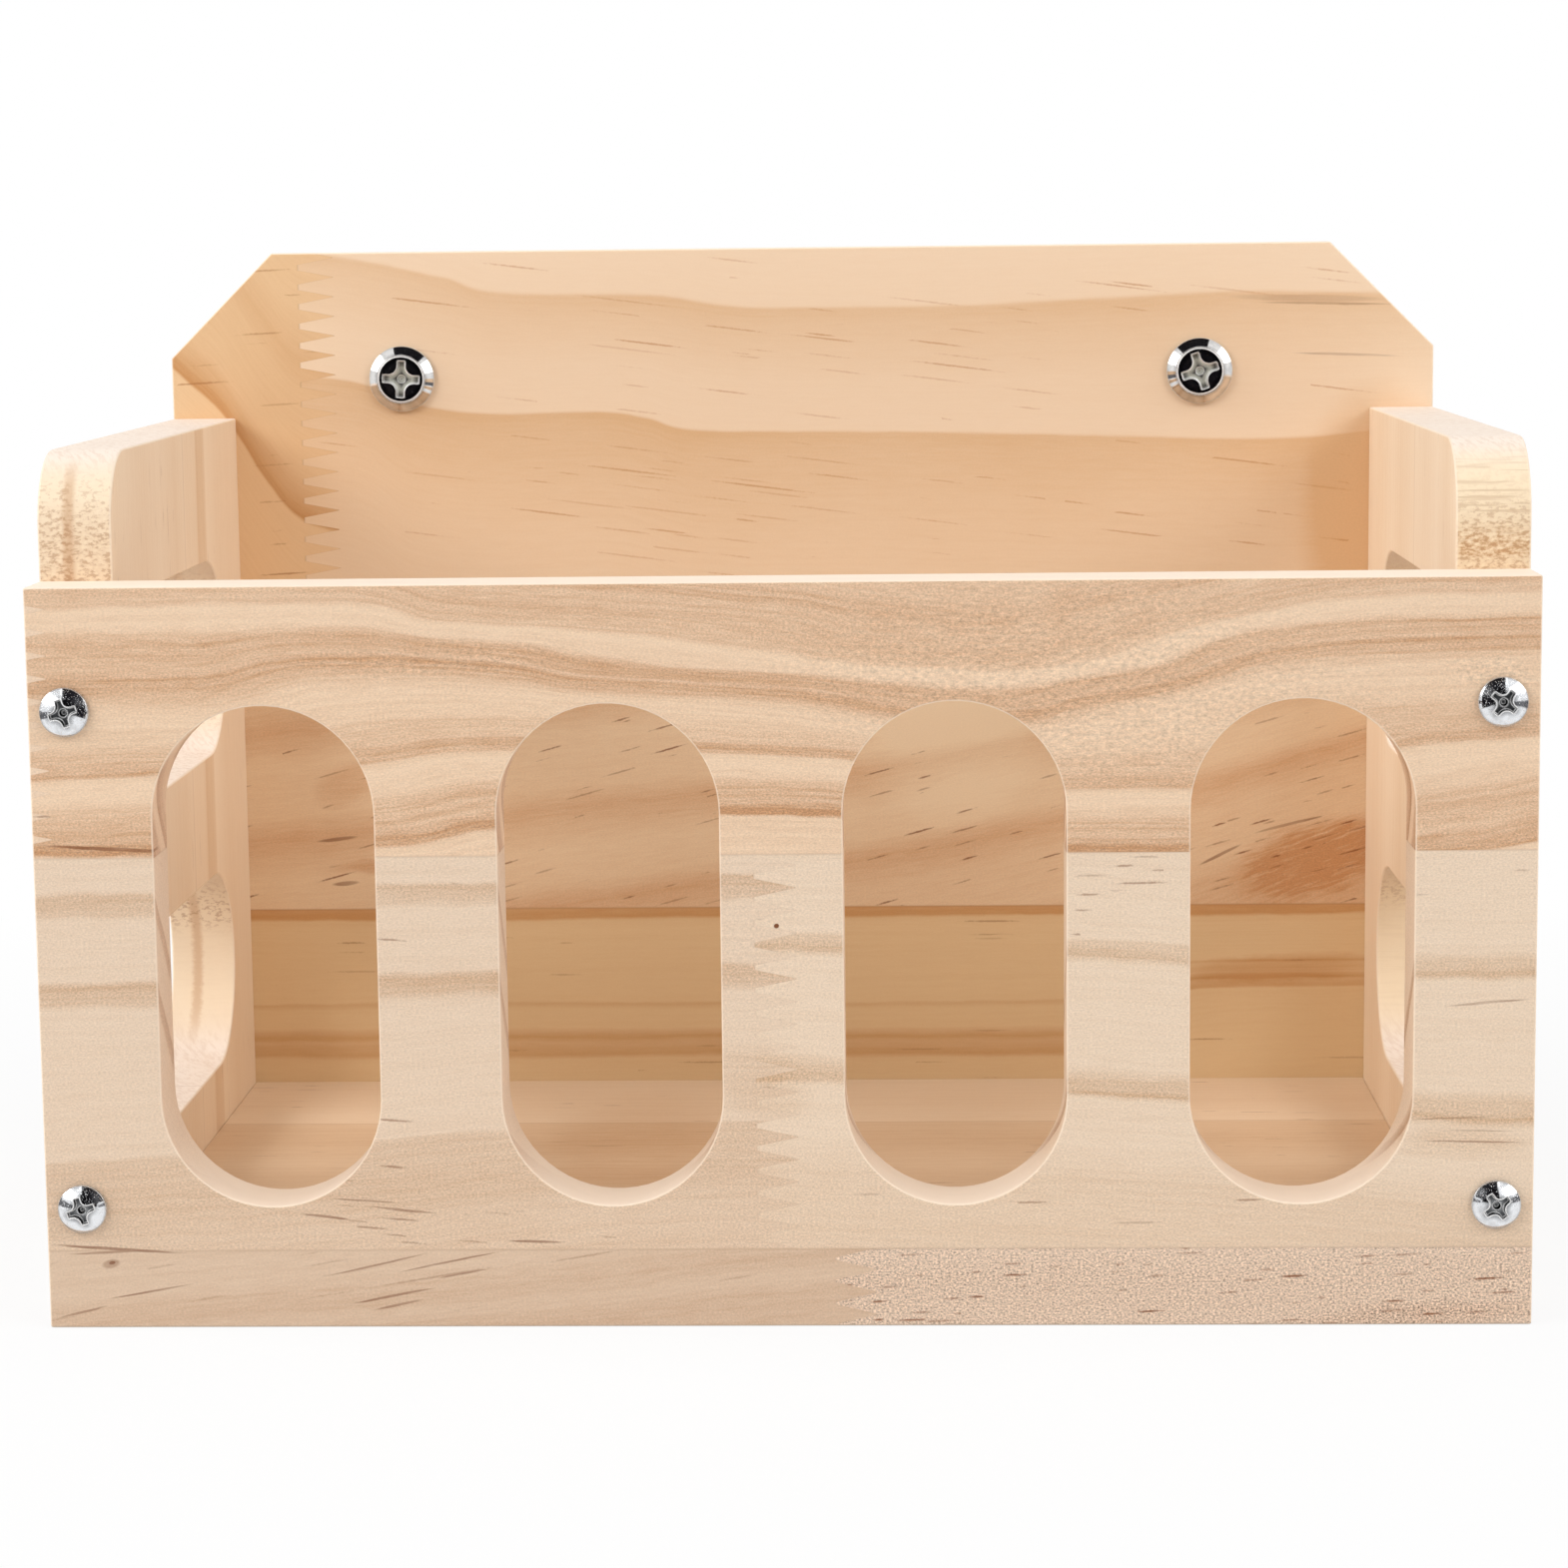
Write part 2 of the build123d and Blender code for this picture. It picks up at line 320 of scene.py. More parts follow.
def pine_group():
    """The fine grain of a piece of pine, as a node group: a colour and a height.

    tone says how dark the growth bands are, and line is the place across them, so that fibres follow
    the bands.
    """
    tree = bpy.data.node_groups.new("pine_grain", "ShaderNodeTree")
    fields = ("along", "across", "deep", "line", "tone", "end_grain", "chalk", *PIECE_NUMBERS)
    for name in fields:
        tree.interface.new_socket(name, in_out="INPUT", socket_type="NodeSocketFloat")
    for name in PIECE_COLOURS:
        tree.interface.new_socket(name, in_out="INPUT", socket_type="NodeSocketColor")
    tree.interface.new_socket("colour", in_out="OUTPUT", socket_type="NodeSocketColor")
    tree.interface.new_socket("height", in_out="OUTPUT", socket_type="NodeSocketFloat")
    source = tree.nodes.new("NodeGroupInput")
    take = {socket.name: Field(tree, socket) for socket in source.outputs if socket.name}
    sink = tree.nodes.new("NodeGroupOutput")

    along = take["along"] + take["seed"] * SEED_STEP
    across = take["across"]
    deep = take["deep"]
    line = take["line"]
    band = take["tone"]

    # Threads and fibres, which follow the bands
    thread = wood_noise(tree, "threads", along, line, deep)
    fibre = wood_noise(tree, "fibres", along, line, deep) - 0.5
    patch = wood_noise(tree, "patches", along, across, deep)
    lines = (thread.rise(0.42, 0.66) - 0.42) * take["threads"]
    tone = band * (lines * 0.5 + 1.0) * patch.ranged(0.3, 0.7, 0.9, 1.1)
    tone = tone + lines * 0.16 + fibre * (band + 0.9) * take["streaks"]
    colour = mix_colour(tree, tone.ranged(0.0, 1.0), take["pale"].socket, take["dark"].socket)
    cut = take["end_grain"] * take["chalk"].flipped() * band * 0.6
    colour = mix_colour(tree, cut, colour, CUT_BAND_COLOUR)

    # Fine sanded grain, stronger in the bands, and torn fibres
    grain = wood_noise(tree, "sanding", along, across, deep) - 0.5
    torn = wood_noise(tree, "torn", along, across, deep) - 0.5
    sanded = grain * take["speckle"] * (band * 1.4 + 0.55)
    ragged = torn * take["fuzz"]
    colour = brightened(tree, colour, sanded + ragged + 1.0)

    dash = resin_dashes(tree, take, along, across, deep, torn, patch)
    colour = mix_colour(tree, dash, colour, take["vein"].socket)

    # Across the grain the wood is chalky and open
    chalk = take["end_grain"] * take["chalk"]
    chalky = brightened(tree, CHALK_COLOUR[:3], sanded * 0.6 + 1.0)
    colour = mix_colour(tree, chalk * 0.85, colour, chalky)
    colour = mix_colour(tree, chalk * thread.rise(0.45, 0.62) * 0.3, colour, CHALK_LINE_COLOUR)

    height = sanded + ragged * 2.2 + take["end_grain"] * torn * 0.5
    plug(tree, Field(tree, colour), sink.inputs["colour"])
    plug(tree, height, sink.inputs["height"])


def zigzag(across, joint):
    """The line of a finger joint, from its base out to FINGER_LENGTH.

    A joint is the place of its base along the board, the place of one tip across it, and how wide the
    fingers are at the base, as a share of the pitch.
    """
    base, tip, width = joint
    off = ((across - tip) / FINGER_PITCH).math("PINGPONG", 0.5) * 2.0
    return off.ranged(FINGER_TIP, width, FINGER_LENGTH, 0.0) + base


def band_shift(tree, along, across, rows):
    """How far the growth bands lie above their places in the bands' list, drawn at a few heights."""
    shift = None
    for height, points in rows:
        here = along.curve(points)
        if shift is None:
            shift = here
        else:
            shift = mix_value(tree, across.ranged(last_height, height), shift, here)
        last_height = height
    return shift


def streak_mask(along, across, start, end, width, soft=False):
    """1 on a thin streak from start to end, which tapers to its ends."""
    slope = (end[1] - start[1]) / (end[0] - start[0])
    a = (along - (start[0] + end[0]) / 2) / ((end[0] - start[0]) / 2)
    b = (across - along * slope - (start[1] - start[0] * slope)) / width
    return (a * a + b * b).rise(0.0 if soft else 0.35, 1.1).flipped()


def blended(tree, share, first, second):
    """Between two sets of piece values, mixing only the ones that differ."""
    values = {}
    for key in first:
        mix = mix_colour if key in PIECE_COLOURS else mix_value
        same = first[key] is second[key] or first[key] == second[key]
        values[key] = first[key] if same else mix(tree, share, first[key], second[key])
    return values


def piece_values(tree, special, along, across, deep, wander):
    """A piece's values, with the place across its growth bands and the bands' tone there."""
    values = {**PIECE_NUMBERS, **PIECE_COLOURS, **special}
    bands = values.pop("bands", PLAIN_BANDS)
    rows = values.pop("rows", None)
    line = across + deep * RING_TILT + wander * values.pop("wander", 1.0)
    if rows:
        line = line - band_shift(tree, along, across, rows)
    values["line"] = line
    values["tone"] = line.curve(bands, "VECTOR")
    return values


def glued_staves(tree, staves, along, across, deep, wander):
    """The piece values all over a board, and its glue lines: 1 on a seam and less on a finger joint."""
    board = None
    seams = []
    lowest = None
    for top, pieces in staves:
        stave = None
        for joint, special in pieces:
            values = piece_values(tree, special, along, across, deep, wander)
            if stave is None:
                stave = values
            else:
                gap = along - zigzag(across, last_joint)
                glued = gap.line(0.0, GLUE_LINE_HALF_WIDTH) * FINGER_GLUE
                if lowest is not None:
                    glued = glued * across.math("GREATER_THAN", lowest)
                if top is not None:
                    glued = glued * across.math("LESS_THAN", top)
                seams.append(glued)
                stave = blended(tree, gap.rise(-SEAM_HALF_WIDTH, SEAM_HALF_WIDTH), stave, values)
            last_joint = joint
        if board is None:
            board = stave
        else:
            above = across.rise(lowest - SEAM_HALF_WIDTH, lowest + SEAM_HALF_WIDTH)
            board = blended(tree, above, board, stave)
            seams.append(across.line(lowest, GLUE_LINE_HALF_WIDTH))
        lowest = top
    return board, strongest(seams)


def pine_board(name, axes, face, staves, zones=(), streaks=(), chalk=0.2, glue=0.3, edge=None):
    """The material of a board made of glued staves.

    axes names the model's axes along, across and through the board, and face is the place of its best
    face on the last one. staves lists, from the lowest across, each stave's upper seam and its pieces in
    order along the grain, each with the finger joint that ends it and what is special about it. A piece's
    bands are (place across, tone), and its rows shift them, as band_shift says. zones are soft patches:
    a start and an end along the board, a half width, and what is added to each value there. streaks are
    single dark marks: a start, an end, a half width and a strength. chalk says how chalky the end is that
    faces along the board, and glue how dark the glue lines are. edge is the look of a rough sawn edge.
    """
    material = bpy.data.materials.new(name)
    material.use_nodes = True
    tree = material.node_tree
    shader = tree.nodes["Principled BSDF"]
    where = tree.nodes.new("ShaderNodeTexCoord")
    scaled = tree.nodes.new("ShaderNodeVectorMath")
    scaled.operation = "SCALE"
    scaled.inputs["Scale"].default_value = 1 / MM
    tree.links.new(where.outputs["Object"], scaled.inputs[0])
    place = dict(zip("xyz", split(tree, scaled.outputs[0])))
    facing = dict(zip("xyz", split(tree, where.outputs["Normal"])))
    along = place[axes[0]]
    across = place[axes[1]]
    deep = place[axes[2]] - face
    slow = wood_noise(tree, "slow_wander", along, across, deep) - 0.5
    quick = wood_noise(tree, "quick_wander", along, across, deep) - 0.5
    board, seams = glued_staves(tree, staves, along, across, deep, slow * 3.0 + quick * 1.6)

    near_face = deep.math("ABSOLUTE").rise(*FACE_DEPTH).flipped()
    for start, end_point, width, added in zones:
        ragged = across + quick * ZONE_RAGGED
        mask = streak_mask(along, ragged, start, end_point, width, soft=True) * near_face
        for key, amount in added.items():
            board[key] = mask * amount + board[key]

    end = facing[axes[0]].math("ABSOLUTE").rise(*FACING)
    # Painted light and shade: only ends that face the way the along axis runs get the pale chalky end grain,
    # and ends facing the other way keep darker bands; on the upright sides the upward ends are pale and the
    # downward ends dark
    chalk_as_painted_light = facing[axes[0]].rise(0.0, 0.5) * chalk
    side = facing[axes[1]].math("ABSOLUTE").rise(*FACING)
    grain = tree.nodes.new("ShaderNodeGroup")
    grain.node_tree = bpy.data.node_groups["pine_grain"]
    board.update(along=along, across=across, deep=deep, end_grain=end, chalk=chalk_as_painted_light)
    for key, value in board.items():
        plug(tree, value, grain.inputs[key])

    colour = grain.outputs["colour"]
    if seams is not None:
        colour = mix_colour(tree, seams * glue * (quick + 1.0), colour, GLUE_COLOUR)
    if streaks:
        ragged = across + quick * STREAK_RAGGED
        marks = strongest(
            streak_mask(along, ragged, start, end_point, width) * strength
            for start, end_point, width, strength in streaks)
        colour = mix_colour(tree, marks * near_face * (quick * 1.5 + 0.9), colour, MARK_COLOUR)

    height = Field(tree, grain.outputs["height"])
    if edge is None:
        planed = brightened(tree, LONG_EDGE_COLOUR[:3], quick * 0.1 + 1.0)
        colour = mix_colour(tree, side * 0.92, colour, planed)
    else:
        colour, rough = rough_edge(tree, along, across, deep, side, colour, edge)
        height = height + rough

    # Painted highlight: the eased edges are painted paler, for the light they catch
    flat = facing[axes[2]].math("ABSOLUTE")
    eased = flat.rise(0.1, 0.3) * flat.rise(0.86, 0.97).flipped()
    colour = mix_colour(tree, eased * 0.6, colour, EDGE_HIGHLIGHT_COLOUR)

    bump = tree.nodes.new("ShaderNodeBump")
    bump.inputs["Strength"].default_value = 0.5
    bump.inputs["Distance"].default_value = GRAIN_HEIGHT * MM
    plug(tree, height, bump.inputs["Height"])
    tree.links.new(bump.outputs["Normal"], shader.inputs["Normal"])
    tree.links.new(colour, shader.inputs["Base Color"])
    shader.inputs["Roughness"].default_value = 0.6
    shader.inputs["Specular IOR Level"].default_value = 0.25
    return material


def rough_edge(tree, along, across, deep, side, colour, edge):
    """A sawn edge, left rough. Gives its colour and a height to add.

    edge says how strong its torn specks, chatter marks and scorching are at each height, and lists its
    brown bands: their place through the board, half width and strength.
    """
    specks = wood_noise(tree, "specks", along, deep, across)
    chatter = wood_noise(tree, "chatter", along, deep, across)
    speckled = along.curve(edge["specks"])
    torn = specks.rise(0.5, 0.6) * speckled
    ribs = chatter.rise(0.5, 0.62) * along.curve(edge["chatter"])
    colour = mix_colour(tree, side * 0.9, colour, edge["colour"])
    for centre, width, strength in edge["bands"]:
        band = (deep + specks * 1.5).line(centre, width)
        colour = mix_colour(tree, side * band * strength, colour, edge["brown"])
    scorched = along.curve(edge["scorch"]) * specks.rise(0.3, 0.6) * side
    colour = mix_colour(tree, scorched, colour, edge["brown"])
    dark = torn.math("MAXIMUM", ribs * 0.7) * side
    colour = mix_colour(tree, dark * 0.55, colour, TORN_COLOUR)
    return colour, (specks * speckled * 2.4 - ribs) * side


pine_group()

# The places of the boards' best faces, in millimetres
front_face = box["front_panel"][0][1] / MM
back_face = box["back_panel"][0][1] / MM
floor_face = box["floor_panel"][1][2] / MM
left_face = box["left_side_panel"][1][0] / MM
right_face = box["right_side_panel"][0][0] / MM

# The front board's pieces, from its foot to its top
front_foot_left = {
    "seed": 1.0, "pale": srgb(226, 201, 176), "dark": srgb(196, 158, 126), "streaks": 0.6,
    "bands": [(-4, 0.3), (3, 0.5), (6, 0.25), (10, 0.45), (14, 0.2)],
    "rows": [(0, [(-125, -9), (0, 2), (10, 3)])],
    "speckle": 0.4, "dashes": 0.3, "dash_length": 2.6, "dash_slant": 0.17, "dash_depth": 0.4,
}
front_foot_right = {
    "seed": 2.0, "pale": srgb(230, 206, 184), "dark": srgb(202, 168, 142), "streaks": 0.4,
    "threads": 0.2,
    "bands": [(-2, 0.4), (1, 0.2), (8, 0.3), (14, 0.15)],
    "speckle": 2.7, "fuzz": 0.3, "dashes": 0.5, "dash_length": 0.65, "dash_slant": 0.05,
    "dash_depth": 0.95,
}
front_middle_left = {
    "seed": 3.0, "pale": srgb(234, 211, 187), "dark": srgb(203, 165, 130), "streaks": 0.4,
    "bands": [(13.5, 0.35), (20, 0.5), (28.3, 0.45), (29, 0.12), (54, 0.1), (55.5, 0.5), (58.5, 0.7),
              (59.5, 0.12), (70, 0.1), (71.2, 0.5), (74, 0.65), (74.6, 0.1), (82, 0.1)],
    "rows": [
        (28, [(-125, 0), (-67, 3.5), (-48, 6), (-9, 8)]),
        (60, [(-125, 0), (-67, 1.8), (-48, 2), (-9, 3)]),
    ],
    "speckle": 0.7, "dashes": 0.03, "dash_slant": -0.08,
}
front_middle_right = {
    "seed": 4.0, "pale": srgb(237, 215, 191), "dark": srgb(205, 168, 132), "streaks": 0.4,
    "bands": [(13.5, 0.3), (24, 0.3), (30, 0.1), (38.5, 0.12), (39.6, 0.75), (43, 0.4), (44.4, 0.1),
              (61.5, 0.1), (62.8, 0.65), (65, 0.45), (66, 0.1), (82, 0.12)],
    "rows": [
        (40, [(2, 3), (57, 0), (115, -4.4)]),
        (64, [(2, 2), (57, 0), (115, -2.6)]),
    ],
    "speckle": 0.7, "dashes": 0.04, "dash_slant": 0.02,
}
front_top_stub = {"seed": 5.5, "pale": srgb(238, 212, 186), "dark": srgb(222, 184, 150)}
front_top = {
    "seed": 5.0, "pale": srgb(239, 210, 180), "dark": srgb(198, 150, 110), "streaks": 0.6,
    "bands": [(73, 0.1), (80.6, 0.12), (81.2, 0.95), (83, 0.75), (84, 0.5), (85.5, 0.6), (87.5, 0.45),
              (89, 0.15), (91, 0.05), (93.2, 0.1), (93.9, 0.7), (96, 0.55), (97.5, 0.35), (99, 0.4),
              (100.5, 0.2), (104, 0.1), (106.5, 0.15), (108.5, 0.35), (109.6, 0.6), (111.5, 0.72),
              (113, 0.5), (114.5, 0.55), (116.5, 0.62), (117.5, 0.3), (118.5, 0.06), (121, 0.04),
              (122, 0.35), (124, 0.5), (127, 0.42), (130, 0.55), (134, 0.35)],
    "rows": [
        (82, [(-125, 0), (-90, 0.4), (-65, 1.2), (-48, 3.8), (-7, 7), (8, 6.8), (47, -0.4), (105, -0.6),
              (125, 1)]),
        (96, [(-125, 0), (-68, 2.4), (-45, 5.2), (-10, 4.9), (6, 4), (47, -3.3), (70, -3.3), (100, 3),
              (125, 6)]),
        (105, [(-125, -2.5), (-100, -2.5), (-75, 2.5), (-56, 4), (-30, 2), (0, -1.5), (20, -7),
               (35, -8.5), (48, -5), (60, -1.5), (73, 3), (81, 5), (125, 6)]),
        (112, [(-125, -1), (-100, -1), (-75, 2.5), (-56, 2), (-30, -4), (0, -8), (20, -10), (35, -10.5),
               (48, -9), (60, -6.5), (73, 0), (81, 3), (97, 4.8), (125, 6)]),
        (120, [(-125, 1), (-75, 1.5), (-56, -2), (-30, -4), (0, -6.5), (20, -9.5), (35, -10), (48, -8),
               (60, -5.5), (73, -3), (81, -1), (97, 1), (125, 2)]),
    ],
    "speckle": 0.65, "fuzz": 0.15, "threads": 0.6, "wander": 0.6, "dashes": 0.0,
}
front_wood = pine_board(
    "pine_front", "xzy", front_face,
    [
        (13.4, [((8.3, 5.9, 0.9), front_foot_left), (None, front_foot_right)]),
        (80.6, [((-4.6, 75.0, 0.8), front_middle_left), (None, front_middle_right)]),
        (None, [((-128.6, 118.5, 0.75), front_top_stub), (None, front_top)]),
    ],
    zones=[
        ((-10, 113), (104, 107), 22, {"fuzz": 1.0, "threads": -0.6}),   # torn fibres over the third slot
        ((-82, 113), (-30, 114), 3.5, {"fuzz": 0.9}),                   # a row of raised flecks
        ((108, 111), (126, 109), 3.5, {"fuzz": 1.2}),                   # splinters by the upper right screw
        ((-92, 20), (-26, 16), 8, {"dashes": 0.5}),
        ((34, 76), (76, 76), 5, {"dashes": 0.5}),
        ((100, 32), (126, 31), 3, {"tone": 0.3, "dashes": 0.4}),
        ((-14, 66), (6, 66), 16, {"fuzz": 0.4}),
        ((-14, 44), (6, 40), 7, {"tone": 0.25}),
        ((78, -1), (130, 3), 3.5, {"tone": 0.35}),
    ],
    streaks=[
        ((-124, 82.9), (-98, 81.4), 0.35, 0.7),
        ((-125, 14.6), (-101, 12.9), 0.3, 0.6),
        ((-122, 12.8), (-106, 13.6), 0.25, 0.5),
        ((-115.5, 5.0), (-100, 7.6), 0.2, 0.65),
        ((-124, 1.6), (-115, 3.9), 0.25, 0.5),
        ((-78, 8.8), (-60, 12.9), 0.2, 0.6),
        ((-66, 9.4), (-48, 13.2), 0.2, 0.65),
        ((-59, 8.4), (-50, 10.1), 0.2, 0.7),
        ((-74, 4.0), (-59, 6.9), 0.25, 0.7),
        ((-70, 3.0), (-61, 4.8), 0.25, 0.6),
        ((-82, 19.7), (-73, 18.7), 0.25, 0.75),
        ((-77, 22.3), (-65, 21.5), 0.2, 0.7),
        ((-71, 21.0), (-58, 19.6), 0.25, 0.6),
        ((-47, 15.0), (-37, 14.6), 0.25, 0.7),
        ((109.6, 54.3), (124, 55.6), 0.25, 0.55),
        ((104.5, 35.3), (118, 35.6), 0.15, 0.5),
        ((106, 31.6), (124, 31.2), 0.18, 0.6),
        ((110, 33.4), (122, 33.2), 0.12, 0.4),
        ((-1.4, 68.5), (-0.4, 68.6), 0.5, 1.3),
        ((-116, 10.8), (-112.6, 11.4), 0.9, 0.5),
        ((-114.8, 11.2), (-113.4, 11.4), 0.4, 1.0),
    ],
    glue=0.16,
)

# The back board's pieces, from its foot to its top
back_foot = {
    "seed": 6.0, "pale": srgb(238, 212, 170), "dark": srgb(206, 156, 104), "vein": srgb(150, 92, 50),
    "streaks": 0.2, "threads": 0.15,
    "bands": [(5, 0.15), (17, 0.25), (18, 0.75), (20.5, 0.5), (21.5, 0.8), (23.5, 0.2), (27.2, 0.2),
              (28.2, 0.55), (28.8, 0.2), (43.5, 0.25), (45.4, 0.35), (46, 1.0), (48, 0.9), (51, 0.3),
              (60, 0.5), (64, 0.2)],
    "rows": [
        (30, [(-125, 0), (57, 0), (80, 14), (115, 15.5)]),
        (45, [(-125, 0), (125, 0.5)]),
    ],
    "speckle": 0.08, "wander": 0.6, "dashes": 0.05, "dash_length": 1.6, "dash_depth": 0.5,
}
back_middle = {
    "seed": 7.0, "pale": srgb(240, 214, 180), "dark": srgb(205, 152, 106), "vein": srgb(134, 80, 48),
    "streaks": 0.4, "threads": 0.12,
    "bands": [(30, 0.5), (36, 0.25), (46, 0.3), (52, 0.65), (56, 0.2), (62, 0.15), (70, 0.6), (74, 0.2),
              (84, 0.15), (90, 0.6), (96, 0.25), (110, 0.4), (118, 0.8), (124, 0.3), (140, 0.4)],
    "rows": [
        (48, [(-125, -10), (-60, -4), (0, 4), (60, 16), (125, 40)]),
        (104, [(-125, -6), (-60, 0), (0, 4), (60, 14), (125, 30)]),
    ],
    "speckle": 0.25, "dashes": 0.22, "dash_length": 0.95, "dash_slant": 0.28, "dash_depth": 0.85,
}
back_top_left = {
    "seed": 8.0, "pale": srgb(244, 208, 164), "dark": srgb(206, 150, 96), "vein": srgb(168, 106, 58),
    "streaks": 0.25, "threads": 0.1,
    "bands": [(118, 0.2), (139.4, 0.2), (140.2, 1.0), (143, 0.7), (149, 0.3), (165, 0.3), (172, 0.45),
              (182, 0.2)],
    "rows": [
        (140, [(-125, 18), (-122, 15.3), (-115.6, 9.2), (-112.4, 4.5), (-106, -5.6), (-100, -12.4),
               (-90, -16)]),
    ],
    "speckle": 0.08, "wander": 0.5, "dashes": 0.25, "dash_length": 1.5, "dash_slant": 0.05,
}
back_top = {
    "seed": 9.0, "pale": srgb(250, 223, 193), "dark": srgb(229, 187, 142), "vein": srgb(194, 128, 70),
    "streaks": 0.22, "threads": 0.1,
    "bands": [(96, 0.35), (118, 0.5), (130, 0.62), (139, 0.8), (142.8, 0.95), (143.4, 0.14), (154, 0.2),
              (160, 0.38), (166, 0.55), (169.7, 0.75), (170.4, 0.1), (183, 0.08), (190, 0.6),
              (191, 0.1)],
    "rows": [
        (143, [(-125, 18), (-90, 14), (-74, 6.5), (-60, 5.3), (-42, 5.9), (-31, 4.4), (-20, 1.3),
               (20, 0.5), (64, -0.8), (90, -1.6), (125, 0)]),
        (170, [(-125, 14), (-90, 8.8), (-70, 4.7), (-58, 1.6), (-30, 0.8), (-5, -2.2), (30, -1.9),
               (60, -0.6), (92, 0.4), (125, -0.4)]),
    ],
    "speckle": 0.06, "wander": 0.3, "dashes": 0.15, "dash_length": 2.2, "dash_slant": -0.13,
    "dash_depth": 0.55,
}
back_wood = pine_board(
    "pine_back", "xzy", back_face,
    [
        (48.1, [(None, back_foot)]),
        (107.0, [(None, back_middle)]),
        (None, [((-99.3, 175.2, 0.72), back_top_left), (None, back_top)]),
    ],
    zones=[
        ((-100, 72), (-84, 76), 5.0, {"tone": 0.3}),
        ((-98, 56), (-62, 59), 2.2, {"tone": 0.5}),
        ((84, 53), (120, 61), 9.5, {"tone": 0.62, "streaks": 1.1}),     # a reddish patch
        ((70, 56), (114, 68), 10.0, {"dashes": 0.35}),
        ((10, 84), (54, 92), 26.0, {"tone": -0.32}),
        # painted shade: the right side board's shade on the right end of the back board, on top of its darker
        # wood
        ((98, 124), (128, 126), 30.0, {"tone": 0.8}),
        ((-85, 129), (60, 129), 13.0, {"dashes": 0.35}),
        ((50, 128), (118, 126), 13.0, {"dashes": 0.45}),
        ((-50, 164), (80, 157), 10.0, {"dashes": 0.3}),
        ((72, 34), (118, 36), 3.5, {"tone": 0.5, "dashes": 0.35}),
        ((90, 8), (112, 9), 3.0, {"tone": 0.5}),
    ],
    streaks=[
        ((79, 56), (88, 60.4), 0.4, 0.7),
        ((90, 62.5), (104, 66), 0.35, 0.55),
        ((84, 169.4), (116, 168.6), 0.8, 0.25),
        ((90, 168.3), (118, 167.6), 0.3, 0.4),
        ((97, 158.4), (119, 157.4), 0.3, 0.35),
        ((56, 70), (66, 66), 0.3, 0.4),
        ((-99, 62), (-90, 63), 0.45, 0.6),
        ((-96, 53.2), (-90, 53.6), 0.5, 0.6),
    ],
    glue=0.25,
)

# The floor
floor_front = {
    "seed": 10.0, "pale": srgb(234, 208, 177), "dark": srgb(210, 172, 134), "streaks": 0.5,
    "bands": [(-62, 0.4), (-40, 0.2), (-20, 0.5), (-10, 0.3), (8, 0.6), (24, 0.4)],
    "speckle": 0.12, "dashes": 0.06,
}
floor_rear = {
    "seed": 11.0, "pale": srgb(238, 214, 185), "dark": srgb(216, 180, 144), "streaks": 0.45,
    "bands": [(24, 0.2), (40, 0.35), (62, 0.25)],
    "speckle": 0.12, "dashes": 0.06,
}
floor_wood = pine_board(
    "pine_floor", "xyz", floor_face,
    [
        (24.0, [(None, floor_front)]),
        (None, [(None, floor_rear)]),
    ],
    zones=[((-52, 0), (-6, 0), 55, {"tone": 0.35})],
)

# The left side, whose grain is upright
left_front = {
    "seed": 12.0, "pale": srgb(243, 223, 198), "dark": srgb(221, 188, 152), "streaks": 0.35,
    "threads": 0.25,
    "bands": [(-62, 0.3), (-50, 0.2), (-35, 0.3), (-20, 0.15), (-4, 0.4), (4, 0.2)],
    "speckle": 0.12, "wander": 0.4, "dashes": 0.12, "dash_depth": 0.4,
}
left_rear = {
    "seed": 13.0, "pale": srgb(243, 222, 196), "dark": srgb(217, 182, 144), "streaks": 0.35,
    "threads": 0.25,
    "bands": [(4, 0.2), (16, 0.3), (18, 0.75), (25, 0.6), (27, 0.15), (40, 0.35), (62, 0.2)],
    "speckle": 0.12, "wander": 0.4, "dashes": 0.05, "dash_depth": 0.3,
}
left_wood = pine_board(
    "pine_left", "zyx", left_face,
    [
        (4.0, [(None, left_front)]),
        (None, [(None, left_rear)]),
    ],
    chalk=0.9,
    edge={
        "colour": srgb(250, 228, 198), "brown": srgb(198, 148, 102),
        "specks": [(0, 0.0), (46, 0.05), (52, 0.9), (60, 0.9), (63, 0.2), (112, 0.8), (134, 0.7), (144, 0.3),
                   (148, 0.15)],
        "chatter": [(0, 0.05), (148, 0.1)],
        "bands": [(-6.6, 1.5, 0.5)],
        "scorch": [(60, 0.0), (72, 0.1), (118, 0.1), (130, 0.25), (140, 0.0)],
    },
)

